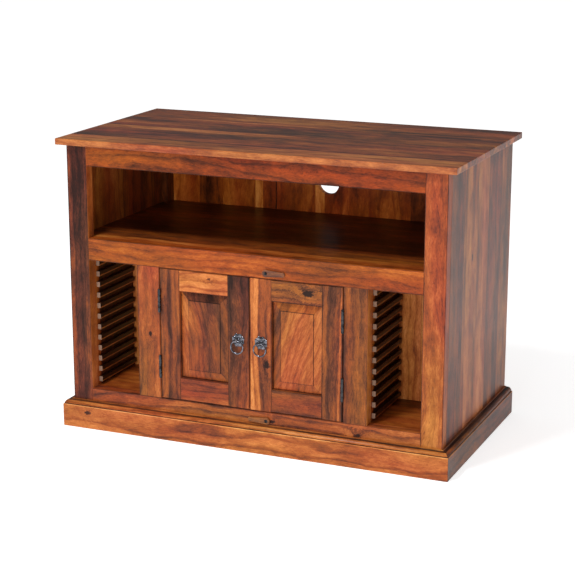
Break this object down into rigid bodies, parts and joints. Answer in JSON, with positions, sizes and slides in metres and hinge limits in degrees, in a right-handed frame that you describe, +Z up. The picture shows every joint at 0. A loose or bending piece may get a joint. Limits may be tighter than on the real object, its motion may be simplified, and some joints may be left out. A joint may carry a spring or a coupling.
{
  "type": "tv stand with doors",
  "caption": "Wooden TV stand with an open bay over two panelled doors, slatted disc racks at both sides, a moulded plinth and black iron ring pulls.",
  "frame": {"origin": "on the floor, at the middle of the overall width and depth", "axes": "+X to the right seen from the front, +Y from the front to the back, +Z up"},
  "size_m": [1.1, 0.585, 0.79],
  "materials": {
    "front_wood": "satin lacquer over warm brown figured hardwood",
    "panel_wood": "satin lacquer over lighter orange-brown hardwood",
    "side_wood": "satin lacquer over grey-brown hardwood",
    "inside_wood": "thin satin lacquer over olive-brown hardwood",
    "dark_wood": "satin lacquer over dark brown hardwood",
    "black_iron": "blackened iron, slightly polished on raised parts",
    "bare_steel": "plain zinc-plated steel"
  },
  "bodies": {
    "cabinet": {"top_board": "front_wood", "left_side": "side_wood", "right_side": "side_wood", "back_panel": "inside_wood", "shelf": "inside_wood", "floor_board": "inside_wood", "left_stile": "front_wood", "right_stile": "front_wood", "left_inner_stile": "front_wood", "right_inner_stile": "front_wood", "top_rail": "front_wood", "mid_rail": "front_wood", "bottom_rail": "front_wood", "plinth_front": "front_wood", "plinth_left": "side_wood", "plinth_right": "side_wood", "left_rack_wall": "inside_wood", "right_rack_wall": "inside_wood", "left_partition": "inside_wood", "right_partition": "inside_wood", "left_rack_back": "inside_wood", "right_rack_back": "inside_wood", "left_rack_slats": "inside_wood", "right_rack_slats": "inside_wood", "left_partition_slats": "inside_wood", "right_partition_slats": "inside_wood", "left_cleat": "inside_wood", "right_cleat": "inside_wood", "back_screws": "bare_steel", "door_stop": "inside_wood", "catch_magnets": "bare_steel", "frame_hinge_leaves": "black_iron", "hinge_pins": "black_iron", "frame_hinge_screws": "black_iron", "turn_button_screws": "black_iron"},
    "left_door": {"left_door_hinge_stile": "front_wood", "left_door_lock_stile": "front_wood", "left_door_top_rail": "panel_wood", "left_door_bottom_rail": "panel_wood", "left_door_panel": "panel_wood", "left_door_hinge_leaves": "black_iron", "left_door_hinge_screws": "black_iron", "left_catch_plate": "black_iron", "left_pull_rose": "black_iron", "left_pull_eye": "black_iron"},
    "right_door": {"right_door_hinge_stile": "front_wood", "right_door_lock_stile": "front_wood", "right_door_top_rail": "panel_wood", "right_door_bottom_rail": "panel_wood", "right_door_panel": "panel_wood", "right_door_hinge_leaves": "black_iron", "right_door_hinge_screws": "black_iron", "right_catch_plate": "black_iron", "right_pull_rose": "black_iron", "right_pull_eye": "black_iron"},
    "left_ring": {"left_pull_ring": "black_iron"},
    "right_ring": {"right_pull_ring": "black_iron"},
    "top_button": {"top_turn_button": "dark_wood"},
    "bottom_button": {"bottom_turn_button": "dark_wood"}
  },
  "joints": [
    {"name": "left_door_hinge", "type": "hinge", "parent": "cabinet", "child": "left_door", "pos_m": [-0.2576, -0.2735, 0.2875], "axis": [0, 0, -1], "range_deg": [0, 160]},
    {"name": "right_door_hinge", "type": "hinge", "parent": "cabinet", "child": "right_door", "pos_m": [0.2576, -0.2735, 0.2875], "axis": [0, 0, 1], "range_deg": [0, 160]},
    {"name": "left_ring_swing", "type": "hinge", "parent": "left_door", "child": "left_ring", "pos_m": [-0.032, -0.279, 0.29456], "axis": [-1, 0, 0], "range_deg": [-10, 165]},
    {"name": "right_ring_swing", "type": "hinge", "parent": "right_door", "child": "right_ring", "pos_m": [0.032, -0.279, 0.29456], "axis": [-1, 0, 0], "range_deg": [-10, 165]},
    {"name": "top_button_turn", "type": "hinge", "parent": "cabinet", "child": "top_button", "pos_m": [0.048, -0.2729, 0.481], "axis": [0, 1, 0], "range_deg": [-180, 180]},
    {"name": "bottom_button_turn", "type": "hinge", "parent": "cabinet", "child": "bottom_button", "pos_m": [0.048, -0.2729, 0.086], "axis": [0, 1, 0], "range_deg": [0, 180]}
  ]
}
